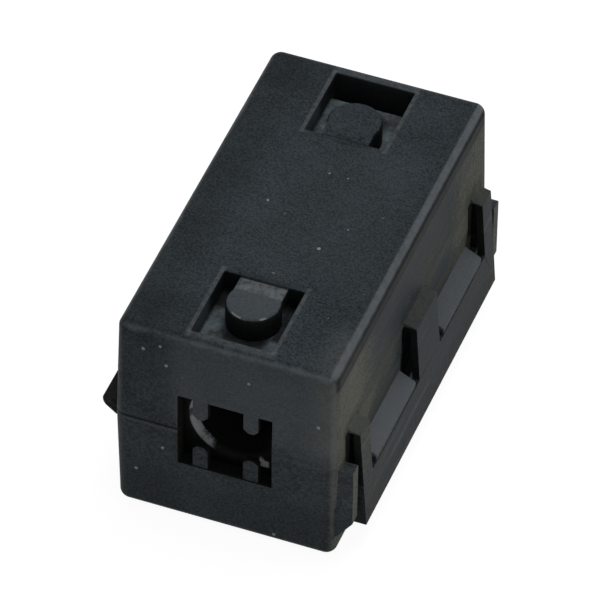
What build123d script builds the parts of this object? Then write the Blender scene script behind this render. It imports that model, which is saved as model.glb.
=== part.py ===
from build123d import *
import math
import os

# A clip-on ferrite bead for a round cable: a moulded case in two halves that
# folds on a flexible strip, closes with a latch strap and holds two ferrite
# half shells. X runs across the case towards the latch, Y along the cable, Z up.
# The origin is in the middle of the cable passage, on the parting plane.
# All lengths are in millimetres and all angles in degrees.

# Case
case_length = 33.0      # along the cable, at the parting plane
case_width = 17.8       # across the cable, at the parting plane
half_height = 9.25      # one half, from the parting plane to its flat face
draft_angle = 1.5       # lean of the four outer walls
corner_radius = 1.1     # upright corners
rim_radius = 0.8        # edges of the flat face
side_wall = 1.5         # side walls at the parting plane
end_wall = 1.35         # end walls at the parting plane
roof_thickness = 1.7    # flat wall

# Ferrite half shells
ferrite_end_gap = 0.65  # from each end of the ferrite to the end wall
ferrite_top_gap = 0.4   # from the ferrite to the flat wall, where the buttons press
ferrite_clearance = 0.15
bore_radius = 3.05
bore_chamfer = 0.75     # wide ground rim at each end of the bore
ferrite_chamfer = 0.4   # outer long edges away from the parting plane
stop_rib_width = 1.0    # ribs on the end walls that keep the ferrite in the middle
stop_rib_height = 5.0
stop_rib_x = 5.5

# Cable opening in each end wall, with teeth that grip the cable
opening_width = 7.5
opening_height = 6.9
tooth_width = 1.2
tooth_length = 2.05
tooth_notch = 1.15      # gap beside the outer side of each tooth
tooth_tip_chamfer = 0.35
tooth_thickness = 0.6     # at the outer side of the wall

# Windows in the flat walls, each with a spring tongue that presses on the ferrite
window_width = 6.4
window_length = 6.85
tongue_width = 3.8
tongue_thickness = 1.0
tongue_drop = 0.12        # arm below the flat face, which the button is level with
button_radius = 2.1
button_setback = 2.45     # free gap between the button and the window's outer edge
button_chamfer = 0.2
tongue_root = 1.0         # how far the tongue runs on inside the flat wall

# Latch strap, which hangs from the upper half
strap_gap = 0.36          # from the side wall at the parting plane to the strap's upper end
strap_thickness = 0.6
strap_end_gap = 0.6       # free gap between each end of the strap and the ear beyond it
strap_top = 2.2           # underside of the knuckles that carry it
strap_drop = 9.15         # height of the strap
strap_flare = 4.0         # lean away from the case on the way down
foot_height = 1.9         # thicker lowest stretch
foot_in = 0.5             # how far it is thicker towards the case
bar_height = 4.05         # solid bar below the two windows
end_post_width = 1.9
middle_post_width = 4.4
strap_corner_radius = 0.25
knuckle_height = 0.4      # at the side wall
knuckle_nose = 0.05       # upright stretch over the outer edge of the strap
knuckle_radius = 0.4
post_pocket_depth = 0.7   # pockets in the side walls behind the posts
post_pocket_margin = 0.45 # how much wider they are at each side of a post
post_pocket_drop = 4.6    # how far they go on below the parting plane

# Catches on the lower half, which stand in the windows of the strap
catch_out = 1.3
catch_end_gap = 0.85      # free gap between a catch and the posts beside it
catch_drop = 1.5          # upper edge of the ramp below the parting plane
catch_slope = 30.0        # ramp angle below the horizontal
catch_play = 0.1          # gap between a catch and the bar that it holds

# Ears on the lower half, one beyond each end of the strap
ear_inset = 0.65          # from the end of the case
ear_out = 1.07
ear_thickness = 1.05
ear_drop = 0.2            # upper edge below the parting plane
ear_height = 5.3          # straight outer edge
ear_taper_height = 1.8    # sloped edge back to the wall

# Folding strip on the side away from the latch
hinge_out = 1.2           # from the side wall at the parting plane
hinge_inset = 1.1         # from each end of the case
hinge_rise = 3.5          # upper edge of the leaf above the parting plane
hinge_drop = 1.35         # lower edge of the strip below the parting plane
hinge_strip = 0.4        # thickness of the flexible strip
hinge_seam = 0.15         # joint of leaf and strip above the parting plane
hinge_bend_radius = 0.35

# Worked out from the sizes above
side_x = case_width / 2
cavity_width = case_width - 2 * side_wall
cavity_length = case_length - 2 * end_wall
cavity_height = half_height - roof_thickness
ferrite_width = cavity_width - 2 * ferrite_clearance
ferrite_length = cavity_length - 2 * ferrite_end_gap
ferrite_height = cavity_height - ferrite_top_gap
strap_inner = side_x + strap_gap
strap_outer = strap_inner + strap_thickness
strap_length = case_length - 2 * (ear_inset + ear_thickness + strap_end_gap)
bar_top = strap_top - strap_drop + bar_height
post_span = (strap_length - middle_post_width) / 2 - end_post_width
window_centre = (middle_post_width + post_span) / 2
catch_length = post_span - 2 * catch_end_gap
hinge_length = case_length - 2 * hinge_inset
hinge_x = -(side_x + hinge_out)
into_wall = side_wall / 2     # how deep what stands on a side wall is rooted in it


def wall_lean(height):
    """How far an outer wall has leaned in, at a height off the parting plane."""
    return height * math.tan(math.radians(draft_angle))


def wall_x(height):
    """Distance of the leaning side wall from the middle, at a height off the parting plane."""
    return side_x - wall_lean(height)


def prism_along_y(points, length, rounded=(), radius=0.0):
    """A prism along Y, centred on Y = 0, with an outline of points in the plane Y = 0."""
    outline = make_face(Polyline(*points, close=True))
    if rounded:
        corners = [
            min(outline.vertices(), key=lambda v: (Vector(v.X, v.Y, v.Z) - Vector(*points[i])).length)
            for i in rounded
        ]
        outline = fillet(corners, radius)
    return extrude(outline, length / 2, both=True)


def drafted_block(width, length, radius):
    """A block on the parting plane whose walls lean in by the draft angle."""
    outline = RectangleRounded(width, length, radius)
    return extrude(outline, half_height, taper=draft_angle)


def side_wall_form():
    """What the outer faces of one half enclose, without its rounded rim."""
    return drafted_block(case_width, case_length, corner_radius)


def tongue(end):
    """Spring tongue in one window: a level arm with a thick round button at its tip."""
    window_outer = cavity_length / 2
    arm_start = window_outer - window_length - tongue_root
    button_y = window_outer - button_setback - button_radius
    arm = Box(tongue_width, button_y - arm_start, tongue_thickness)
    arm_z = half_height - tongue_drop - tongue_thickness / 2
    height = half_height - ferrite_height
    button = Pos(0, end * button_y, ferrite_height) * Cylinder(
        button_radius, height, align=(Align.CENTER, Align.CENTER, Align.MIN)
    )
    button = chamfer(button.edges().sort_by(Axis.Z)[-1], button_chamfer)
    return Pos(0, end * (arm_start + button_y) / 2, arm_z) * arm + button


def end_opening(end):
    """Cable opening through the end wall of one half, without its teeth."""
    cut = Box(opening_width, 2 * end_wall, opening_height)
    return Pos(0, end * (case_length - end_wall) / 2, 0) * cut


def tooth(end, side):
    """Thin blunt tooth that stands in the cable opening and grips the cable."""
    root = opening_height / 2
    outer = opening_width / 2 - tooth_notch
    inner = outer - tooth_width
    tip = root - tooth_length
    shoulder = tip + tooth_tip_chamfer
    points = [
        (outer, 0, root + end_wall), (outer, 0, shoulder), (outer - tooth_tip_chamfer, 0, tip),
        (inner + tooth_tip_chamfer, 0, tip), (inner, 0, shoulder), (inner, 0, root + end_wall),
    ]
    plate = prism_along_y([(side * x, y, z) for x, y, z in points], tooth_thickness)
    place = case_length / 2 - wall_lean(half_height) - tooth_thickness / 2
    return Pos(0, end * place, 0) * plate


def post_pocket(y, width, height):
    """Pocket in the side wall behind one post of the strap, from the parting plane up."""
    base = (Align.CENTER, Align.CENTER, Align.MIN)
    return Pos(side_x, y, 0) * Box(2 * post_pocket_depth, width, height, align=base)


def case_half():
    """One half of the case as the upper one stands, without hinge and latch."""
    half = side_wall_form()
    half = fillet(half.faces().sort_by(Axis.Z)[-1].edges(), rim_radius)
    base = (Align.CENTER, Align.CENTER, Align.MIN)
    half -= Box(cavity_width, cavity_length, cavity_height, align=base)
    stop_rib = Box(stop_rib_width, ferrite_end_gap, stop_rib_height, align=base)
    for end in (-1, 1):
        y = end * (cavity_length - window_length) / 2
        half -= Pos(0, y, cavity_height) * Box(window_width, window_length, half_height, align=base)
        half += tongue(end)
        half -= end_opening(end)
        for side in (-1, 1):
            half += tooth(end, side)
            half += Pos(side * stop_rib_x, end * (cavity_length - ferrite_end_gap) / 2, 0) * stop_rib
    return half


def knuckle(width):
    """Shoulder on the upper half that carries one post of the strap."""
    top = strap_top + knuckle_height
    points = [
        (side_x - into_wall, 0, strap_top), (strap_outer, 0, strap_top),
        (strap_outer, 0, strap_top + knuckle_nose),
        (strap_inner, 0, top - knuckle_height / 2),
        (wall_x(top), 0, top), (side_x - into_wall, 0, top),
    ]
    return prism_along_y(points, width, rounded=(3,), radius=knuckle_radius)


def flare(drop):
    """How far the strap has leaned out, at a distance below its upper end."""
    return drop * math.tan(math.radians(strap_flare))


def strap_profile():
    """Section of the strap: it leans out on the way down and ends in a thicker foot."""
    bottom = strap_top - strap_drop
    foot_top = bottom + foot_height
    foot_inner = strap_inner + flare(strap_drop) - foot_in
    return [
        (strap_inner, 0, strap_top), (strap_outer, 0, strap_top),
        (strap_outer + flare(strap_drop), 0, bottom), (foot_inner, 0, bottom),
        (foot_inner, 0, foot_top - foot_in),
        (strap_inner + flare(strap_top - foot_top), 0, foot_top),
    ]


def latch_strap():
    """Three posts and the bar that they carry, round two windows."""
    strap = prism_along_y(strap_profile(), strap_length)
    height = strap_top - bar_top
    deep = 4 * strap_thickness
    for side in (-1, 1):
        hole = Pos(strap_outer, side * window_centre, bar_top) * Box(
            deep, post_span, 2 * height, align=(Align.CENTER, Align.CENTER, Align.MIN)
        )
        lower_edges = hole.edges().filter_by(Axis.X).group_by(Axis.Z)[0]
        strap -= fillet(lower_edges, strap_corner_radius)
    return strap


def catch():
    """Ramped catch on the side wall of the lower half."""
    tip = side_x + catch_out
    ramp_fall = (tip - wall_x(catch_drop)) * math.tan(math.radians(catch_slope))
    under = bar_top + catch_play
    points = [
        (side_x - into_wall, 0, under), (tip, 0, under),
        (tip, 0, -catch_drop - ramp_fall), (wall_x(catch_drop), 0, -catch_drop),
        (side_x - into_wall, 0, -catch_drop),
    ]
    return prism_along_y(points, catch_length)


def ear(end):
    """Ear on the lower half that guards one end of the strap."""
    root, tip = side_x - into_wall, side_x + ear_out
    bend = ear_drop + ear_height
    foot = bend + ear_taper_height
    points = [
        (root, 0, -ear_drop), (tip, 0, -ear_drop), (tip, 0, -bend),
        (wall_x(foot), 0, -foot), (root, 0, -foot),
    ]
    plate = prism_along_y(points, ear_thickness)
    return Pos(0, end * ((case_length - ear_thickness) / 2 - ear_inset), 0) * plate


def hinge_leaf():
    """Wedge on the upper half that ends in the folding strip."""
    points = [
        (-side_x + into_wall, 0, hinge_rise), (-wall_x(hinge_rise), 0, hinge_rise),
        (hinge_x, 0, hinge_seam), (-side_x + into_wall, 0, hinge_seam),
    ]
    return prism_along_y(points, hinge_length)


def folding_strip():
    """Thin strip that turns under the leaf and back to the lower half."""
    inner_x = hinge_x + hinge_strip
    bend = -hinge_strip
    root = -side_x + into_wall
    slope = math.atan2(hinge_drop + bend, -side_x - hinge_x)
    root_under = bend - (root - hinge_x) * math.tan(slope)
    points = [
        (hinge_x, 0, hinge_seam), (inner_x, 0, hinge_seam), (inner_x, 0, bend + hinge_strip / 4),
        (root, 0, root_under + hinge_strip / math.cos(slope)),
        (root, 0, root_under), (hinge_x, 0, bend),
    ]
    strip = prism_along_y(points, hinge_length, rounded=(5,), radius=hinge_bend_radius)
    return strip - mirror(side_wall_form(), Plane.XY)


def ferrite_half():
    """Ferrite half shell of the upper half, with its half of the bore."""
    base = (Align.CENTER, Align.CENTER, Align.MIN)
    block = Box(ferrite_width, ferrite_length, ferrite_height, align=base)
    long_edges = block.edges().filter_by(Axis.Y).group_by(Axis.Z)[-1]
    block = chamfer(long_edges, ferrite_chamfer)
    bore = Rot(90, 0, 0) * Cylinder(bore_radius, 2 * ferrite_length)
    block -= bore
    for end in (-1, 1):
        mouth = Cone(bore_radius, bore_radius + 2 * bore_chamfer, 2 * bore_chamfer)
        block -= Pos(0, end * ferrite_length / 2, 0) * Rot(-90 * end, 0, 0) * mouth
    return block


def build():
    """Every node by its name."""
    upper = case_half() + hinge_leaf()
    lower = mirror(case_half(), Plane.XY)
    posts = [(0, middle_post_width)]
    for side in (-1, 1):
        posts.append((side * (strap_length - end_post_width) / 2, end_post_width))
        lower += Pos(0, side * window_centre, 0) * catch()
        lower += ear(side)
    for y, width in posts:
        pocket_width = width + 2 * post_pocket_margin
        upper -= post_pocket(y, pocket_width, strap_top)
        upper += Pos(0, y, 0) * knuckle(width)
        lower -= mirror(post_pocket(y, pocket_width, post_pocket_drop), Plane.XY)
    return {
        "upper_case": upper,
        "lower_case": lower,
        "living_hinge": folding_strip(),
        "latch_strap": latch_strap(),
        "ferrite_upper": ferrite_half(),
        "ferrite_lower": mirror(ferrite_half(), Plane.XY),
    }


os.makedirs("parts", exist_ok=True)
for name, node in build().items():
    export_step(node, f"parts/{name}.step")
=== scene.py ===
# %% [markdown]
# # Dressing a clip-on ferrite bead
# This bead is a small black moulded case that closes round a cable. The imported CAD model is the
# frame: it gives every solid its shape and place, in metres. This script adds what the eye needs on
# top: broken edges, moulded grain, dust, wear, painted shade and highlights, and a hinge strip built
# in the shape of its fold.

# %% Load the frame
import math

import bmesh
import bpy
from mathutils import Matrix, Vector


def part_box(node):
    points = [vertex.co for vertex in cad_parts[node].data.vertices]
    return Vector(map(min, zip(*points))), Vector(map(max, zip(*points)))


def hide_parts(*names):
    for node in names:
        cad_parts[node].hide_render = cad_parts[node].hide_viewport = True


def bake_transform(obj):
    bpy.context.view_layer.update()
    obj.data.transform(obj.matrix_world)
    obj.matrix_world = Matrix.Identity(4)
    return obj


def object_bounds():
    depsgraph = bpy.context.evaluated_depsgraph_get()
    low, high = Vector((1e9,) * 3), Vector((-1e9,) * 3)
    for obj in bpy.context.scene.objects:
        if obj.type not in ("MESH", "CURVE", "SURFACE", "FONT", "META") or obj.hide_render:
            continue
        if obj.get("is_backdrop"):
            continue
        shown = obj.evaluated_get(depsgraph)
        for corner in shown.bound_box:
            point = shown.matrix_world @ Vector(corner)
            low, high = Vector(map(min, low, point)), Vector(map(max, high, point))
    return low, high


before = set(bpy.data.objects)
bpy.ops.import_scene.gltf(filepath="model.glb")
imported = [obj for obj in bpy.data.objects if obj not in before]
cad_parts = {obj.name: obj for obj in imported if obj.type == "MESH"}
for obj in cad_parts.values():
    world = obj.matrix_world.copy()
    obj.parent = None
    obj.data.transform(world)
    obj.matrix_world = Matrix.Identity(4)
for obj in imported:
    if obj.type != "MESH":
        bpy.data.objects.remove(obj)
cad_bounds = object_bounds()
MM = 0.001
print("nodes:", sorted(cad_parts))

# %% [markdown]
# ## Sizes of the case
# The walls of a moulded part lean inwards a little, so that it comes out of its tool. So
# the flat face is smaller than the outline at the parting plane. The wear below has to
# know where the outer edges are, and it takes them from these few sizes.

# %% Sizes of the case
case_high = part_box("upper_case")[1]
parting_half_width = 8.9 * MM
wall_draft = math.radians(1.5)
flat_height = case_high.z
wall_lean = flat_height * math.tan(wall_draft)
flat_half_width = parting_half_width - wall_lean
flat_half_length = case_high.y - wall_lean
print("flat face:", [round(2 * v / MM, 2) for v in (flat_half_width, flat_half_length)], "mm")

# %% [markdown]
# ## The camera
# The photograph is taken from the front right and from above, with a long lens, so
# the edges of the case stay almost parallel. The camera is built from three turns
# and a distance: that is easier to read than a matrix, and each number can be
# measured on the picture with the case's own corners.

# %% Place the camera
camera_azimuth = math.radians(20.18)
camera_elevation = math.radians(43.92)
camera_roll = math.radians(0.95)
camera_distance = 547.9 * MM
camera_lens = 433.8
aim_shift_right = -0.15 * MM
aim_shift_up = -0.19 * MM


def place_object(name, data):
    """A new object in the scene."""
    thing = bpy.data.objects.new(name, data)
    bpy.context.scene.collection.objects.link(thing)
    return thing


def camera_axes():
    """Right, up and back of the camera, with its small roll."""
    back = Vector((
        math.sin(camera_azimuth) * math.cos(camera_elevation),
        -math.cos(camera_azimuth) * math.cos(camera_elevation),
        math.sin(camera_elevation),
    ))
    level = Vector((math.cos(camera_azimuth), math.sin(camera_azimuth), 0.0))
    upright = back.cross(level)
    right = level * math.cos(camera_roll) + upright * math.sin(camera_roll)
    return right, back.cross(right), back


right, up, back = camera_axes()
camera = place_object("camera", bpy.data.cameras.new("camera"))
camera.data.lens = camera_lens
camera.data.clip_start = 10 * MM
turn = Matrix((right, up, back)).transposed().to_4x4()
stand = back * camera_distance + right * aim_shift_right + up * aim_shift_up
camera.matrix_world = Matrix.Translation(stand) @ turn
bpy.context.scene.camera = camera
print("camera stands at", [round(v / MM, 1) for v in stand], "mm")

# %% [markdown]
# ## Nodes without repetition
# Every material below is a small graph. A few short helpers keep each graph readable:
# they add a node, join a value or a socket to an input, do a sum, or set up what most
# graphs start from, such as noise or the position on the piece.

# %% Helpers that add and join nodes
def add(tree, kind, **settings):
    """A new node of one kind, with its settings."""
    node = tree.nodes.new(kind)
    for setting, value in settings.items():
        setattr(node, setting, value)
    return node


def feed(tree, socket, source):
    """Joins a socket, or writes a plain value, into an input."""
    if isinstance(source, bpy.types.NodeSocket):
        tree.links.new(source, socket)
    else:
        socket.default_value = source


def calc(tree, operation, *sources):
    """One sum, with numbers or sockets as its terms."""
    node = add(tree, "ShaderNodeMath", operation=operation)
    for socket, source in zip(node.inputs, sources):
        feed(tree, socket, source)
    return node.outputs[0]


def product(tree, first, *others):
    """The product of masks and numbers."""
    for other in others:
        first = calc(tree, "MULTIPLY", first, other)
    return first


def remap(tree, source, low, high, to_low=0.0, to_high=1.0):
    """A smooth step: low becomes to_low and high becomes to_high."""
    node = add(tree, "ShaderNodeMapRange", interpolation_type="SMOOTHSTEP")
    for socket, value in zip(node.inputs, (source, low, high, to_low, to_high)):
        feed(tree, socket, value)
    return node.outputs[0]


def blend_colours(tree, factor, first, second):
    """Goes from the first colour to the second as the factor goes from 0 to 1."""
    node = add(tree, "ShaderNodeMix", data_type="RGBA")
    feed(tree, node.inputs[0], factor)
    feed(tree, node.inputs[6], first)
    feed(tree, node.inputs[7], second)
    return node.outputs[2]


# %% Helpers for places and noise
def own_place(tree):
    """Position on the piece itself, which moves with it."""
    return add(tree, "ShaderNodeTexCoord").outputs["Object"]


def own_normal(tree):
    """Direction of the surface on the piece itself."""
    return add(tree, "ShaderNodeTexCoord").outputs["Normal"]


def stretched_place(tree, scale, turn=(0.0, 0.0, 0.0)):
    """Position on the piece, scaled along each axis and then turned."""
    node = add(tree, "ShaderNodeMapping")
    node.inputs["Scale"].default_value = scale
    node.inputs["Rotation"].default_value = turn
    feed(tree, node.inputs["Vector"], own_place(tree))
    return node.outputs[0]


def split(tree, vector):
    """The x, y and z of a vector."""
    node = add(tree, "ShaderNodeSeparateXYZ")
    feed(tree, node.inputs[0], vector)
    return node.outputs


def noise(tree, place, scale, detail=2.0, rough=0.5):
    """Cloudy noise between 0 and 1."""
    node = add(tree, "ShaderNodeTexNoise")
    feed(tree, node.inputs["Vector"], place)
    feed(tree, node.inputs["Scale"], scale)
    feed(tree, node.inputs["Detail"], detail)
    feed(tree, node.inputs["Roughness"], rough)
    return node.outputs["Fac"]


# %% Helpers for groups and materials
def start_group(name, inputs, outputs):
    """An empty node group with named inputs and their usual values, and named outputs."""
    group = bpy.data.node_groups.new(name, "ShaderNodeTree")
    for title, usual in inputs.items():
        socket = group.interface.new_socket(title, in_out="INPUT", socket_type="NodeSocketFloat")
        socket.default_value = usual
    for title in outputs:
        group.interface.new_socket(title, in_out="OUTPUT", socket_type="NodeSocketFloat")
    asks = group.nodes.new("NodeGroupInput").outputs
    gives = group.nodes.new("NodeGroupOutput").inputs
    return group, asks, gives


def use_group(tree, group, **values):
    """Places a group in a material, with this material's own values."""
    node = add(tree, "ShaderNodeGroup", node_tree=group)
    for title, value in values.items():
        feed(tree, node.inputs[title.replace("_", " ")], value)
    return node.outputs


def start_material(name):
    """A new material, its node tree and its shader."""
    material = bpy.data.materials.new(name)
    material.use_nodes = True
    return material, material.node_tree, material.node_tree.nodes["Principled BSDF"]


def bump_from(tree, shader, height, strength, distance):
    """Lets a height tilt the shader's normal."""
    bump = add(tree, "ShaderNodeBump")
    bump.inputs["Strength"].default_value = strength
    bump.inputs["Distance"].default_value = distance
    feed(tree, bump.inputs["Height"], height)
    feed(tree, shader.inputs["Normal"], bump.outputs[0])


# %% [markdown]
# ## Grain of the mould
# The case is moulded in a tool whose faces were spark eroded, so the plastic has a fine
# matt grain, and its tone drifts a little where the melt flowed. Real bumps of that size
# would need millions of faces. Noise in the material is enough, because one grain is a
# tenth of a millimetre. Two sizes of noise are mixed, since a single size looks printed.

# %% Node group: moulded grain
coarse_scale = 0.31
coarse_height = 0.6
fine_in_tone = 0.62
clouds_in_tone = 0.2
coarse_in_tone = 0.14
moulded_grain, asks, gives = start_group(
    "moulded_grain",
    {"Grains per Metre": 5200.0, "Clouds per Metre": 170.0},
    ["Height", "Tone"],
)
place = own_place(moulded_grain)
fine = noise(moulded_grain, place, asks["Grains per Metre"], detail=1.5, rough=0.6)
fewer = calc(moulded_grain, "MULTIPLY", asks["Grains per Metre"], coarse_scale)
coarse = noise(moulded_grain, place, fewer, detail=1.0)
clouds = noise(moulded_grain, place, asks["Clouds per Metre"], detail=4.0, rough=0.62)
tone = remap(moulded_grain, fine, 0.28, 0.72, to_high=fine_in_tone)
drift = remap(moulded_grain, clouds, 0.35, 0.65, to_high=clouds_in_tone)
patch = remap(moulded_grain, coarse, 0.3, 0.7, to_high=coarse_in_tone)
tone = calc(moulded_grain, "ADD", calc(moulded_grain, "ADD", tone, drift), patch)
feed(moulded_grain, gives["Height"], calc(moulded_grain, "MULTIPLY_ADD", coarse, coarse_height, fine))
feed(moulded_grain, gives["Tone"], tone)
print("group", moulded_grain.name, "has", len(moulded_grain.nodes), "nodes")

# %% [markdown]
# ## Dust film
# Handling and warehouse dust leave a thin beige film on the latch side, thicker towards
# the ends of the case. It is patchy and it streaks a little in the direction in which the
# case was wiped, so the noise is stretched along the cable.

# %% Node group: dust film
powder_share = 0.35
bare_level = 1.05
film_border = 0.35
end_cover = 0.38
end_cover_start = 5 * MM
end_cover_full = 15 * MM
dust_film, asks, gives = start_group(
    "dust_film", {"Patches per Metre": 260.0, "Cover": 0.5}, ["Mask"]
)
wiped = stretched_place(dust_film, (1.0, 0.45, 1.0))
patches = noise(dust_film, wiped, asks["Patches per Metre"], detail=5.0, rough=0.65)
powder = noise(dust_film, own_place(dust_film), 5200.0, rough=0.7)
film = calc(dust_film, "MULTIPLY_ADD", powder, powder_share, patches)
from_middle = calc(dust_film, "ABSOLUTE", split(dust_film, own_place(dust_film))[1])
near_end = remap(dust_film, from_middle, end_cover_start, end_cover_full, to_high=end_cover)
cover = calc(dust_film, "ADD", asks["Cover"], near_end)
edge = calc(dust_film, "SUBTRACT", bare_level, cover)
past_edge = calc(dust_film, "ADD", edge, film_border)
feed(dust_film, gives["Mask"], remap(dust_film, film, edge, past_edge))
print("group", dust_film.name, "has", len(dust_film.nodes), "nodes")

# %% [markdown]
# ## Dust specks
# A few pale specks sit on the case. A Voronoi texture drops one point in each cell, and
# two random values of the cell decide whether it has a speck at all and how large it is.
# That keeps them rare and irregular. Fine noise makes their outlines ragged. The same
# group, with small cells and large specks, gives the pores of the ferrite.

# %% Node group: dust specks
ragged_share = 0.12
smallest_speck = 0.06
dust_specks, asks, gives = start_group(
    "dust_specks", {"Cells per Metre": 560.0, "Size": 0.09, "Share": 0.4}, ["Mask"]
)
place = own_place(dust_specks)
cells = add(dust_specks, "ShaderNodeTexVoronoi", feature="F1")
feed(dust_specks, cells.inputs["Vector"], place)
feed(dust_specks, cells.inputs["Scale"], asks["Cells per Metre"])
luck = add(dust_specks, "ShaderNodeSeparateColor")
feed(dust_specks, luck.inputs[0], cells.outputs["Color"])
chosen = calc(dust_specks, "LESS_THAN", luck.outputs[0], asks["Share"])
own_size = calc(dust_specks, "MULTIPLY", asks["Size"], luck.outputs[1])
ragged = noise(dust_specks, place, 11000.0, rough=0.7)
reach = calc(dust_specks, "MULTIPLY_ADD", ragged, ragged_share, own_size)
gap_to_speck = calc(dust_specks, "ADD", cells.outputs["Distance"], smallest_speck)
inside = calc(dust_specks, "LESS_THAN", gap_to_speck, reach)
feed(dust_specks, gives["Mask"], product(dust_specks, inside, chosen))
print("group", dust_specks.name, "has", len(dust_specks.nodes), "nodes")

# %% [markdown]
# ## Rubbed edges
# Wherever the case lies or is handled, its long edges rub and turn a lighter grey. The
# group measures how far a point is from the three outer planes of a box. On an edge two
# of those three distances are small, so the middle one of the three is the measure.
# Noise breaks the line up, since wear is never even.

# %% Node group: rubbed edges
broken_swing = 1.3
broken_least = 0.2
worn_border = 0.6
rubbed_edges, asks, gives = start_group(
    "rubbed_edges",
    {
        "Half Width": flat_half_width,
        "Half Length": flat_half_length,
        "Half Height": flat_height,
        "Reach": 0.6 * MM,
    },
    ["Mask"],
)
gaps = []
axes = split(rubbed_edges, own_place(rubbed_edges))
for axis, title in zip(axes, ("Half Width", "Half Length", "Half Height")):
    gap = calc(rubbed_edges, "SUBTRACT", asks[title], calc(rubbed_edges, "ABSOLUTE", axis))
    gaps.append(calc(rubbed_edges, "MAXIMUM", gap, 0.0))
least = calc(rubbed_edges, "MINIMUM", gaps[0], gaps[1])
most = calc(rubbed_edges, "MAXIMUM", gaps[0], gaps[1])
middle = calc(rubbed_edges, "MAXIMUM", least, calc(rubbed_edges, "MINIMUM", most, gaps[2]))
near = calc(rubbed_edges, "DIVIDE", middle, asks["Reach"])
broken = noise(rubbed_edges, own_place(rubbed_edges), 900.0, detail=4.0, rough=0.7)
uneven = calc(rubbed_edges, "MULTIPLY_ADD", broken, broken_swing, broken_least)
worn = calc(rubbed_edges, "SUBTRACT", uneven, near)
feed(rubbed_edges, gives["Mask"], remap(rubbed_edges, worn, 0.0, worn_border))
print("group", rubbed_edges.name, "has", len(rubbed_edges.nodes), "nodes")

# %% [markdown]
# ## Fine scratches
# Plastic that slides on plastic gets hairline scratches in one main direction. Noise that
# is drawn out along that direction and cut off near its top gives such lines.

# %% Node group: hairlines
no_lines_level = 0.78
full_lines_drop = -0.2
line_border = 0.08
hairlines, asks, gives = start_group(
    "hairlines", {"Lines per Metre": 2600.0, "Amount": 0.5}, ["Mask"]
)
drawn_out = stretched_place(hairlines, (1.0, 0.04, 0.6), turn=(0.3, 0.2, 0.5))
lines = noise(hairlines, drawn_out, asks["Lines per Metre"])
cut = calc(hairlines, "MULTIPLY_ADD", asks["Amount"], full_lines_drop, no_lines_level)
past_cut = calc(hairlines, "ADD", cut, line_border)
feed(hairlines, gives["Mask"], remap(hairlines, lines, cut, past_cut))
print("group", hairlines.name, "has", len(hairlines.nodes), "nodes")

# %% [markdown]
# ## The black plastic
# The case is one material everywhere, a black nylon, but each region has had its own life: dust on the
# latch side, rubbed long edges and catches polished by the strap. Painted shade darkens the deep
# windows, and a painted sheen lies on the catches. One function builds the material from the groups
# above and takes the amounts as plain numbers, so every piece stays the same plastic.

# %% Colours of the plastic
plastic_dark = (0.0085, 0.0112, 0.0132, 1)
plastic_light = (0.0500, 0.0630, 0.0725, 1)
# Grey of rubbed edges and scratches. It is also painted light: a faint lighter middle of the flat
# face, the lighter upper end faces, a highlight along the top edge of the latch side and a sheen on
# the catches.
wear_and_highlight_grey = (0.125, 0.138, 0.150, 1)
dust_dark = (0.062, 0.065, 0.054, 1)
dust_light = (0.195, 0.196, 0.165, 1)
# Pale grey of dust specks, also laid as painted glints on the rim of the near button.
speck_and_glint_grey = (0.42, 0.43, 0.43, 1)
# Near black of painted shade: in the windows, pockets, gaps, the cable opening and on the darker parts
# of the case. It is also the dark of pores, the seam and streaks of grime.
shade_and_grime_black = (0.0035, 0.0038, 0.0030, 1)


# %% Masks for a place and for a direction
def region(tree, soft, **limits):
    """1 inside the limits on x, y and z in millimetres, with a soft border."""
    axes = split(tree, own_place(tree))
    mask = 1.0
    for name, (low, high) in limits.items():
        value = axes["xyz".index(name[0])]
        if name.endswith("_both"):
            value = calc(tree, "ABSOLUTE", value)
        rise = remap(tree, value, (low - soft) * MM, low * MM)
        fall = remap(tree, value, high * MM, (high + soft) * MM, 1.0, 0.0)
        mask = product(tree, mask, rise, fall)
    return mask


def facing(tree, axis):
    """1 where the surface faces along an axis, 0 where it runs beside it."""
    turned = calc(tree, "ABSOLUTE", split(tree, own_normal(tree))["xyz".index(axis)])
    return remap(tree, turned, 0.55, 0.85)


# %% Amounts that all plastic shares
film_strength = 0.9
film_elsewhere = 0.10
film_heights = (-20.0, 6.9)
film_fade = 1.4
rub_strength = 0.5
line_strength = 0.3
speck_strength = 0.6
bare_roughness = 0.46
grain_roughness = 0.12
dust_roughness = 0.22
rub_polish = -0.1
line_depth = -0.8


def film_on_latch_side(tree, cover):
    """Where the dust film lies: below the rim, and mostly on faces that look to the latch."""
    film = use_group(tree, dust_film, Cover=cover)["Mask"]
    latch_side = remap(tree, split(tree, own_normal(tree))[0], 0.35, 0.9, film_elsewhere, 1.0)
    return product(tree, film, latch_side, region(tree, film_fade, z=film_heights))


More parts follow.
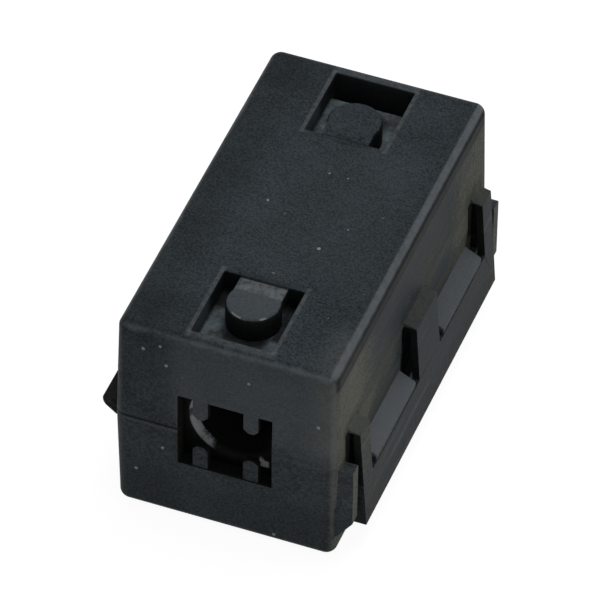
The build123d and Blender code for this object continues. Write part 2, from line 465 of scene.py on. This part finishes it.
# %% The plastic material
def plastic(name, dust, specks, rub=1.0, scratch=0.3, shade=0.0, marks=()):
    """Black moulded plastic with its grain, dust, rubbed edges, scratches and marks."""
    material, tree, shader = start_material(name)
    grain = use_group(tree, moulded_grain)
    film = film_on_latch_side(tree, dust)
    worn = product(tree, use_group(tree, rubbed_edges)["Mask"], rub_strength * rub)
    lines = product(tree, use_group(tree, hairlines, Amount=scratch)["Mask"], line_strength)
    dots = product(tree, use_group(tree, dust_specks, Share=specks)["Mask"], speck_strength)

    colour = blend_colours(tree, grain["Tone"], plastic_dark, plastic_light)
    colour = blend_colours(tree, shade, colour, shade_and_grime_black)
    powder = blend_colours(tree, grain["Tone"], dust_dark, dust_light)
    colour = blend_colours(tree, product(tree, film, film_strength), colour, powder)
    colour = blend_colours(tree, worn, colour, wear_and_highlight_grey)
    colour = blend_colours(tree, lines, colour, wear_and_highlight_grey)
    for lay_mark in marks:
        colour = lay_mark(tree, colour)
    feed(tree, shader.inputs["Base Color"], blend_colours(tree, dots, colour, speck_and_glint_grey))

    rough = calc(tree, "MULTIPLY_ADD", grain["Tone"], grain_roughness, bare_roughness)
    rough = calc(tree, "MULTIPLY_ADD", film, dust_roughness, rough)
    feed(tree, shader.inputs["Roughness"], calc(tree, "MULTIPLY_ADD", worn, rub_polish, rough))
    shader.inputs["Specular IOR Level"].default_value = 0.04
    relief = calc(tree, "MULTIPLY_ADD", lines, line_depth, grain["Height"])
    bump_from(tree, shader, relief, strength=0.6, distance=0.04 * MM)
    print("material", name, "has", len(tree.nodes), "nodes")
    return material


# %% [markdown]
# ## The ferrite
# Ferrite is pressed iron oxide powder, fired like a pot. Its skin is dark grey and a little rough,
# with pores, and it chips to a lighter, almost metallic grey at sharp edges. The rim of the bore is
# ground and lighter. Its left part and one glint at its right are painted highlights, the one bright
# line that shows through the cable opening. The end faces and the bore get painted shade. The flat top
# shows at the bottom of the windows, under fine dust and painted shadows by the buttons.

# %% Colours and sizes of the ferrite
ferrite_dark = (0.030, 0.030, 0.031, 1)
ferrite_light = (0.062, 0.062, 0.064, 1)
# Light grey of the ground rim, laid only where it gets a painted highlight or glint.
ground_rim_and_glint = (0.42, 0.43, 0.45, 1)
floor_dust = (0.138, 0.176, 0.194, 1)
bore_rim_start = 3.07 * MM
bore_rim_end = 3.66 * MM
rim_depth = 13.7 * MM
floor_start = 7.0 * MM
border = 0.1 * MM
lit_rim_end = -2.1 * MM
dark_rim_start = -1.5 * MM
# Box of the painted glint at the right of the near rim.
glint_at_right = {"x": (2.1, 2.7), "y": (-15.0, -13.9), "z": (-3.35, -2.95)}
under_button = {"x_both": (0.0, 1.3), "y_both": (10.6, 13.0)}
right_of_button = {"x": (2.1, 3.6), "y": (-11.8, -8.0)}
left_of_button = {"x": (-3.6, -2.1), "y": (-9.8, -8.0)}
pore_strength = 0.7
end_shade = 0.95
bore_shade = 0.85
shadow_strength = 0.82


# %% The rim of the bore
def ground_ring(tree, radius, along):
    """1 on the ground rim at each end of the bore."""
    rise = remap(tree, radius, bore_rim_start, bore_rim_start + border)
    fall = remap(tree, radius, bore_rim_end - border, bore_rim_end, 1.0, 0.0)
    return product(tree, rise, fall, remap(tree, along, rim_depth, rim_depth + border))


def bright_rim(tree, ring, across):
    """Where the rim gets a painted highlight: its left part, dulled by chips, and a painted glint at
    the right.
    """
    chipped = noise(tree, own_place(tree), 1100.0, detail=3.0, rough=0.6)
    left = remap(tree, across, lit_rim_end, dark_rim_start, 1.0, 0.0)
    dulled = remap(tree, chipped, 0.40, 0.55, to_low=0.25)
    rim_glint = product(tree, region(tree, 0.2, **glint_at_right), remap(tree, chipped, 0.3, 0.5))
    return calc(tree, "MAXIMUM", product(tree, ring, left, dulled), rim_glint)


# %% Dark and dusty parts of the ferrite
def shaded_parts(tree, radius, along, flat):
    """The end faces and the bore, where little light comes in."""
    end_face = remap(tree, along, rim_depth - 2 * border, rim_depth, to_high=end_shade)
    in_bore = remap(tree, radius, bore_rim_start, bore_rim_start + border / 2, bore_shade, 0.0)
    shaded = calc(tree, "MAXIMUM", end_face, in_bore)
    return product(tree, shaded, calc(tree, "SUBTRACT", 1.0, flat))


def window_floor(tree, under, flat):
    """Dust on the flat top, the shadow under each button and those beside the near one."""
    drifted = noise(tree, own_place(tree), 700.0, detail=4.0, rough=0.7)
    drifted = remap(tree, drifted, 0.38, 0.62, 0.12, 0.9)
    colour = blend_colours(tree, product(tree, flat, drifted), under, floor_dust)
    shadow = region(tree, 1.1, **under_button)
    for side in (right_of_button, left_of_button):
        shadow = calc(tree, "MAXIMUM", shadow, region(tree, 0.6, **side))
    return blend_colours(tree, product(tree, flat, shadow, shadow_strength), colour, shade_and_grime_black)


# %% The ferrite material
def ferrite(name):
    """Fired ferrite with pores, a dusty top, painted shade and shadows, and a ground rim round the
    bore with painted highlights.
    """
    material, tree, shader = start_material(name)
    grain = use_group(tree, moulded_grain, Grains_per_Metre=4200.0, Clouds_per_Metre=420.0)
    pores = use_group(tree, dust_specks, Cells_per_Metre=2400.0, Size=0.3, Share=0.3)["Mask"]
    x, y, z = split(tree, own_place(tree))
    radius = calc(tree, "SQRT", calc(tree, "MULTIPLY_ADD", x, x, product(tree, z, z)))
    along = calc(tree, "ABSOLUTE", y)
    flat = remap(tree, calc(tree, "ABSOLUTE", z), floor_start - border, floor_start)

    colour = blend_colours(tree, grain["Tone"], ferrite_dark, ferrite_light)
    colour = blend_colours(tree, product(tree, pores, pore_strength), colour, shade_and_grime_black)
    colour = blend_colours(tree, shaded_parts(tree, radius, along, flat), colour, shade_and_grime_black)
    colour = window_floor(tree, colour, flat)
    bright = bright_rim(tree, ground_ring(tree, radius, along), x)
    feed(tree, shader.inputs["Base Color"], blend_colours(tree, bright, colour, ground_rim_and_glint))

    feed(tree, shader.inputs["Roughness"], calc(tree, "MULTIPLY_ADD", grain["Tone"], 0.2, 0.5))
    shader.inputs["Specular IOR Level"].default_value = 0.06
    relief = calc(tree, "SUBTRACT", grain["Height"], pores)
    bump_from(tree, shader, relief, strength=0.5, distance=0.05 * MM)
    print("material", name, "has", len(tree.nodes), "nodes")
    return material


# %% [markdown]
# ## Broken edges on the CAD solids
# A moulded edge is never sharp: it has a radius of less than a tenth of a millimetre, and
# that radius catches the light. On fired ferrite it is a little larger. The CAD solids
# keep their meshes, so the rounding is a chain of modifiers. Weld joins the faces of the
# import, Bevel rounds each sharp edge, and Weighted Normal keeps the flat faces flat.

# %% Break the edges of a node
plastic_edge = 0.06 * MM
ferrite_edge = 0.12 * MM
sharp_angle = math.radians(55)


def break_edges(node, width):
    """Rounds the sharp edges of a CAD node without touching its mesh."""
    weld = node.modifiers.new("join faces", "WELD")
    weld.merge_threshold = 0.001 * MM
    bevel = node.modifiers.new("broken edges", "BEVEL")
    bevel.width = width
    bevel.segments = 3
    bevel.limit_method = "ANGLE"
    bevel.angle_limit = sharp_angle
    bevel.use_clamp_overlap = False
    bevel.miter_outer = "MITER_ARC"
    even = node.modifiers.new("even normals", "WEIGHTED_NORMAL")
    even.weight = 90
    for polygon in node.data.polygons:
        polygon.use_smooth = True


def dress(name, material, edge):
    """Gives a CAD node its material and broken edges."""
    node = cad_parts[name]
    node.data.materials.clear()
    node.data.materials.append(material)
    break_edges(node, edge)
    print(node.name, "wears", material.name, "and gets edges of", round(edge / MM, 2), "mm")


# %% [markdown]
# ## Marks of use, painted shade and painted highlights
# Some places on the case are darker or lighter than the plastic round them. Some are real: the rubbed
# rims of the windows, catches polished by the strap, the seam. Others are painted shade or light: deep
# walls and gaps that light hardly reaches, darker ends and a darker left side, highlights on edges and
# a sheen on the catches. They could be painted in an image, but then they would depend on one picture.
# Here each mark is a box on the piece with a soft border, in millimetres, which can keep to the faces
# of one direction. It moves with its piece, and one number changes it. Both ends of the case are
# alike, so a limit whose name ends in _both counts the distance from the middle.

# %% A mark
def mark(colour, strength, soft=0.1, faces=None, avoids=None, patchy=0.0, **limits):
    """A function that lays a local change of colour over the colour under it."""
    def lay(tree, under):
        mask = product(tree, region(tree, soft, **limits), strength)
        if faces:
            mask = product(tree, mask, facing(tree, faces))
        if avoids:
            mask = product(tree, mask, calc(tree, "SUBTRACT", 1.0, facing(tree, avoids)))
        if patchy:
            holes = noise(tree, own_place(tree), 1500.0, detail=3.0, rough=0.7)
            holes = remap(tree, holes, 0.36, 0.60)
            mask = product(tree, mask, calc(tree, "MULTIPLY_ADD", holes, patchy, 1.0 - patchy))
        return blend_colours(tree, mask, under, colour)
    return lay


# %% Marks on the flat face
flat_face = (8.9, 9.3)
# Painted shade: the left side and the ends of the flat face are darker. Painted light: its middle is a
# little lighter.
top_left = mark(shade_and_grime_black, 0.22, soft=2.5, faces="z", x=(-9.0, -6.6), z=flat_face)
top_middle = mark(
    wear_and_highlight_grey, 0.06, soft=4.0, faces="z", x=(-2.0, 5.0), y_both=(0.0, 5.0), z=flat_face
)
top_front = mark(
    shade_and_grime_black, 0.22, soft=2.0, faces="z", x=(-9.0, 1.0), y_both=(13.0, 17.0), z=flat_face
)
flat_face_marks = [top_left, top_middle, top_front]
print("marks on the flat face:", len(flat_face_marks))

# %% Marks on the ends
seam_side = (-9.0, -3.7)
end_face = (16.0, 16.6)
end_corner = (15.0, 16.6)
# Painted light on the upper end faces, and painted shade on their left part and towards the floor.
front_top = mark(
    wear_and_highlight_grey, 0.30, soft=3.0, faces="y", x=(-3.0, 9.0), y_both=(15.8, 16.6), z=(2.5, 9.0)
)
front_left = mark(
    shade_and_grime_black, 0.10, soft=2.0, faces="y", x=(-9.0, -5.0), y_both=(15.5, 16.6), z=(-9.3, 9.3)
)
front_low = mark(
    shade_and_grime_black, 0.14, soft=2.5, faces="y", x=(-9.0, 9.0), y_both=end_corner, z=(-9.3, -6.0)
)
left_edge = mark(shade_and_grime_black, 0.55, soft=0.4, x=(-9.0, -8.55), y_both=end_corner, z=(-8.8, 8.6))
seam_upper = mark(shade_and_grime_black, 0.95, soft=0.05, x=seam_side, y_both=end_face, z=(-0.1, 0.16))
seam_lower = mark(wear_and_highlight_grey, 0.22, soft=0.06, x=seam_side, y_both=end_face, z=(-0.3, -0.12))
seam_right = mark(wear_and_highlight_grey, 0.22, soft=0.05, x=(3.7, 9.0), y_both=end_face, z_both=(0.0, 0.12))
# Painted shade on the walls of the cable opening.
opening_walls = mark(
    shade_and_grime_black, 0.92, avoids="y", x_both=(0.0, 3.8), y_both=(14.0, 16.35), z_both=(0.0, 3.5)
)
leaf_end = mark(shade_and_grime_black, 0.75, faces="y", x=(-12.0, -8.95), y_both=(13.0, 16.6), z=(-4.0, 6.0))
print("the seam is marked from", seam_side[0], "to", seam_side[1], "mm across")

# %% Marks in the windows
rim_length = (7.9, 15.3)
left_wall = (-3.6, -3.2)
lit_heights = (7.4, 9.1)
arm_dust = mark(
    speck_and_glint_grey, 0.2, soft=0.3, faces="z", patchy=0.8, x_both=(0.0, 1.7), y=(-9.6, -8.5), z=(8.5, 9.3)
)
# Painted shade in the gap at the root of each arm.
arm_root = mark(
    shade_and_grime_black, 0.85, soft=0.08, faces="z", x_both=(0.0, 2.2), y_both=(7.9, 8.42), z=(8.5, 9.2)
)
rim_left = mark(
    wear_and_highlight_grey, 0.45, soft=0.12, patchy=0.6, x=(-3.45, -3.2), y_both=rim_length, z=flat_face
)
rim_right = mark(
    wear_and_highlight_grey, 0.40, soft=0.12, patchy=0.6, x=(3.2, 3.45), y_both=rim_length, z=flat_face
)
rim_outer = mark(
    wear_and_highlight_grey, 0.35, soft=0.3, patchy=0.6, x_both=(0.0, 3.3), y_both=(15.15, 15.6), z=flat_face
)
# Painted shade on the deep walls of the windows. lit_near and lit_far lay painted light back on parts
# of their left walls.
all_walls = mark(
    shade_and_grime_black, 0.85, avoids="z", x_both=(0.0, 3.25), y_both=(8.0, 15.2), z_both=(0.0, 9.1)
)
lit_near = mark(plastic_light, 0.8, soft=1.2, avoids="z", x=left_wall, y=(-15.2, -12.0), z=lit_heights)
lit_far = mark(plastic_light, 0.8, soft=1.2, avoids="z", x=left_wall, y=(8.0, 11.0), z=lit_heights)
window_marks = [arm_dust, arm_root, rim_left, rim_right, rim_outer, all_walls, lit_near, lit_far]
print("marks in the windows:", len(window_marks))

# %% Marks on the near button
button_front = (-13.2, -11.9)
button_edge = (9.16, 9.22)
button_face = mark(
    wear_and_highlight_grey, 0.30, soft=0.05, faces="z", x_both=(0.0, 2.2), y=(-12.8, -9.3), z=flat_face
)
# Painted highlights: two short arcs on the front rim of the near button.
arc_left = mark(speck_and_glint_grey, 0.34, soft=0.03, x=(-1.1, -0.3), y=button_front, z=button_edge)
arc_right = mark(speck_and_glint_grey, 0.4, soft=0.03, x=(1.1, 1.8), y=button_front, z=button_edge)
button_marks = [button_face, arc_left, arc_right]
print("marks on the near button:", len(button_marks))

# %% Marks on the latch side of the upper half
# Painted shade on the middle of the latch side.
wall_middle_shade = mark(plastic_dark, 0.3, soft=3.0, x=(8.6, 9.0), y_both=(0.0, 7.0), z=(-1.0, 6.5))
wall_dust = mark(dust_light, 0.3, soft=3.0, patchy=0.4, x=(8.6, 9.0), y=(-16.5, -12.5), z=(2.5, 8.0))
# Painted highlight along the top edge of the latch side, with painted shade just below it.
top_edge_highlight = mark(wear_and_highlight_grey, 0.75, soft=0.2, patchy=0.3, x=(8.15, 8.45), z=(9.0, 9.3))
rim_shade = mark(shade_and_grime_black, 0.9, soft=0.3, x=(8.7, 9.0), z=(7.9, 8.75))
knuckle_dust = mark(dust_dark, 0.6, patchy=0.5, x=(8.7, 10.1), y_both=(0.0, 15.0), z=(2.05, 2.8))
# Painted shade in the pockets behind the knuckles.
pocket_walls = mark(shade_and_grime_black, 0.62, x=(7.5, 8.75), y_both=(0.0, 15.0), z=(0.0, 3.3))
side_wall_marks = [wall_middle_shade, wall_dust, top_edge_highlight, rim_shade, knuckle_dust]
print("marks on the side wall:", len(side_wall_marks))

# %% Marks round the catches and on the strap
ramp_heights = (-2.4, -1.45)
ramp_across = (8.9, 12.0)
pocket_heights = (-3.2, 0.0)
above_ramps = mark(dust_dark, 0.5, x=(8.7, 9.0), y_both=(3.1, 11.4), z=(-1.5, -0.05))
# The ramps are polished by the strap. Their lighter grey is also a painted sheen, stronger on the near
# ramp.
ramp_near = mark(wear_and_highlight_grey, 0.74, soft=0.05, x=ramp_across, y=(-12.0, 0.0), z=ramp_heights)
ramp_far = mark(wear_and_highlight_grey, 0.58, soft=0.05, x=ramp_across, y=(0.0, 12.0), z=ramp_heights)
# Painted shade in the pockets behind the posts.
pocket_middle = mark(shade_and_grime_black, 0.7, soft=0.08, x=(7.5, 9.0), y_both=(0.0, 3.0), z=pocket_heights)
pocket_ends = mark(shade_and_grime_black, 0.7, soft=0.08, x=(7.5, 8.85), y_both=(11.5, 15.0), z=pocket_heights)
# Painted shade on the sides of the posts, in the narrow gaps.
post_sides = mark(shade_and_grime_black, 0.8, faces="y", x=(8.0, 11.0), z=(-2.9, 2.2))
strap_streaks = mark(shade_and_grime_black, 0.55, soft=1.6, patchy=0.5, x=(10.0, 11.0), z=(-7.2, -5.9))
strap_marks = [post_sides, strap_streaks]
print("marks on the strap:", len(strap_marks))

# %% [markdown]
# ## Dressing the nodes
# Every solid of the case keeps its own shape and gets the plastic with its own amounts: the strap is
# clean and scratched, the upper half has most of the dust. Later marks lie over earlier ones, so the
# painted shade on the walls and the seam come last.

# %% Dress the nodes
upper_marks = flat_face_marks + [front_top, front_left] + button_marks + side_wall_marks
upper_marks += window_marks + [opening_walls, pocket_walls, above_ramps, left_edge]
upper_marks += [seam_upper, seam_right, leaf_end]
lower_marks = [front_left, front_low, all_walls, opening_walls, above_ramps, pocket_middle]
lower_marks += [pocket_ends, ramp_near, ramp_far, left_edge, seam_lower, seam_right, leaf_end]
upper_plastic = plastic("upper_plastic", dust=0.44, specks=0.48, marks=upper_marks)
lower_plastic = plastic("lower_plastic", dust=0.36, specks=0.4, rub=0.6, marks=lower_marks)
strap_plastic = plastic(
    "strap_plastic", dust=0.12, specks=0.4, scratch=0.8, shade=0.3, marks=strap_marks
)
dress("upper_case", upper_plastic, plastic_edge)
dress("lower_case", lower_plastic, plastic_edge)
dress("latch_strap", strap_plastic, plastic_edge)
for name in ("ferrite_upper", "ferrite_lower"):
    dress(name, ferrite(name), ferrite_edge)

# %% [markdown]
# ## The folding strip
# On the far side from the latch the two halves are one piece of plastic: a strip thin enough to fold
# thousands of times. The CAD solid is rigid and is hidden, and this piece, built in the shape of the
# fold, takes its place.

# %% Outline of the strip
hinge_low, hinge_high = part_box("living_hinge")
strip_thick = 0.40 * MM
fold_radius = 0.35 * MM
strip_middle = hinge_low.x + strip_thick / 2
strip_top = hinge_high.z + 0.06 * MM
wall_root = Vector((hinge_high.x, hinge_low.z + 0.25 * MM))
fold = Vector((strip_middle, -0.30 * MM))
fold_steps = 8
upright_steps = 10


def strip_centre():
    """Points down the middle of the strip's thickness, seen along the cable."""
    points = []
    upright_end = fold.y + fold_radius
    for step in range(upright_steps):
        share = step / upright_steps
        points.append(Vector((strip_middle, strip_top + (upright_end - strip_top) * share)))
    slope = (wall_root - fold).normalized()
    start = fold + Vector((0.0, fold_radius))
    stop = fold + slope * fold_radius
    for step in range(fold_steps + 1):
        t = step / fold_steps
        points.append(start * (1 - t) ** 2 + fold * 2 * t * (1 - t) + stop * t * t)
    points.append(stop.lerp(wall_root, 0.5))
    points.append(wall_root)
    return points


def strip_outline():
    """The two sides of the ribbon's outline, outer side first."""
    centre = strip_centre()
    outer, inner = [], []
    for i, point in enumerate(centre):
        ahead = centre[min(i + 1, len(centre) - 1)] - centre[max(i - 1, 0)]
        side = Vector((ahead.y, -ahead.x)).normalized() * strip_thick / 2
        outer.append(point + side)
        inner.append(point - side)
    return outer, inner


# %% Sweep the strip along the cable
along_steps = 40


def folding_strip():
    """The ribbon as one closed mesh of quads."""
    outer, inner = strip_outline()
    loop = outer + inner[::-1]
    mesh = bmesh.new()
    rows = []
    for step in range(along_steps + 1):
        y = hinge_low.y + (hinge_high.y - hinge_low.y) * step / along_steps
        rows.append([mesh.verts.new((p.x, y, p.y)) for p in loop])
    for row, following in zip(rows, rows[1:]):
        for i in range(len(loop)):
            j = (i + 1) % len(loop)
            mesh.faces.new((row[i], row[j], following[j], following[i]))
    for row in (rows[0], rows[-1]):
        for i in range(len(outer) - 1):
            mesh.faces.new((row[i], row[i + 1], row[-2 - i], row[-1 - i]))
    bmesh.ops.recalc_face_normals(mesh, faces=mesh.faces)
    data = bpy.data.meshes.new("folding_strip")
    mesh.to_mesh(data)
    mesh.free()
    for polygon in data.polygons:
        polygon.use_smooth = True
    return place_object("folding_strip", data)


# %% Dress the strip
strip = folding_strip()
strip_finish = plastic("strip_hinge_plastic", dust=0.3, specks=0.3, scratch=0.6, marks=[leaf_end])
strip.data.materials.append(strip_finish)
strip_edges = strip.modifiers.new("broken edges", "BEVEL")
strip_edges.width = plastic_edge
strip_edges.segments = 2
strip_edges.limit_method = "ANGLE"
strip_edges.angle_limit = math.radians(50)
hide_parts("living_hinge")
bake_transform(strip)
print("strip has", len(strip.data.polygons), "faces")

# %% [markdown]
# ## Floor and sky
# The bead stands on a pale sheet in a studio. The floor is plain and matt. For rays that
# come straight from the camera, and for reflections, part of it glows, so the sheet
# reads as white while the object's shadow stays on it. The sky does the same: it is seen
# as white, but it lights the bead with a third of that.

# %% The floor
floor_size = 3.0
floor_glow = 0.75
floor_z = cad_bounds[0][2]
quarters = ((-1, -1), (1, -1), (1, 1), (-1, 1))
floor_mesh = bpy.data.meshes.new("floor")
floor_corners = [(x * floor_size / 2, y * floor_size / 2, floor_z) for x, y in quarters]
floor_mesh.from_pydata(floor_corners, [], [(0, 1, 2, 3)])
floor = place_object("floor", floor_mesh)
floor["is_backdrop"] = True


def seen_directly(tree):
    """1 for rays from the camera and for reflected or refracted rays."""
    path = add(tree, "ShaderNodeLightPath").outputs
    seen = calc(tree, "MAXIMUM", path["Is Camera Ray"], path["Is Glossy Ray"])
    return calc(tree, "MAXIMUM", seen, path["Is Transmission Ray"])


paper, tree, shader = start_material("paper")
shader.inputs["Base Color"].default_value = (0.60, 0.60, 0.60, 1)
shader.inputs["Roughness"].default_value = 0.95
shader.inputs["Specular IOR Level"].default_value = 0.0
glow = add(tree, "ShaderNodeEmission")
glow.inputs["Strength"].default_value = 1.24
mix = add(tree, "ShaderNodeMixShader")
feed(tree, mix.inputs[0], calc(tree, "MULTIPLY", seen_directly(tree), floor_glow))
feed(tree, mix.inputs[1], shader.outputs[0])
feed(tree, mix.inputs[2], glow.outputs[0])
feed(tree, tree.nodes["Material Output"].inputs[0], mix.outputs[0])
floor.data.materials.append(paper)
print("floor lies at", round(floor_z / MM, 2), "mm")

# %% The sky of the studio
sky_level = 0.34
world = bpy.data.worlds.new("studio")
bpy.context.scene.world = world
world.use_nodes = True
tree = world.node_tree
sky = tree.nodes["Background"]
sky.inputs["Color"].default_value = (0.98, 0.99, 1.0, 1)
seen = seen_directly(tree)
feed(tree, sky.inputs["Strength"], calc(tree, "MULTIPLY_ADD", seen, 1.0 - sky_level, sky_level))
print("sky lights with", sky_level)

# %% [markdown]
# ## Soft lamps
# The photograph has no hard shadow and no bright reflection, only a top that is a little
# lighter than the walls. So three weak, large lamps stand round the bead: one behind it,
# one above and one in front. Small lamps would draw sharp edges that aren't there.

# %% Soft lamps
def softbox(name, towards, distance, size, power):
    """A square lamp that looks at the bead from a direction."""
    lamp = bpy.data.lights.new(name, "AREA")
    lamp.shape = "SQUARE"
    lamp.size = size
    lamp.energy = power
    holder = place_object(name, lamp)
    direction = Vector(towards).normalized()
    holder.location = direction * distance
    holder.rotation_euler = direction.to_track_quat("Z", "Y").to_euler()
    print(name, "stands at", [round(v, 2) for v in holder.location], "m")


softbox("lamp_behind", towards=(0.15, 0.85, 0.60), distance=0.55, size=0.30, power=0.5)
softbox("lamp_above", towards=(0.10, 0.15, 1.0), distance=0.70, size=0.35, power=1.5)
softbox("lamp_front", towards=(0.35, -0.85, 0.45), distance=0.90, size=0.50, power=0.5)

# %% [markdown]
# ## Finish
# The colour view is plain, so that a colour shows as it is written. The last lines write
# down the box of the CAD and the box of what is shown, to see that dressing the bead
# didn't change its size.

# %% Measure and finish
bpy.context.scene.view_settings.view_transform = "Standard"
shown_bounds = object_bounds()
for title, box in (("cad", cad_bounds), ("shown", shown_bounds)):
    print(title, [round((high - low) / MM, 2) for low, high in zip(*box)], "mm")
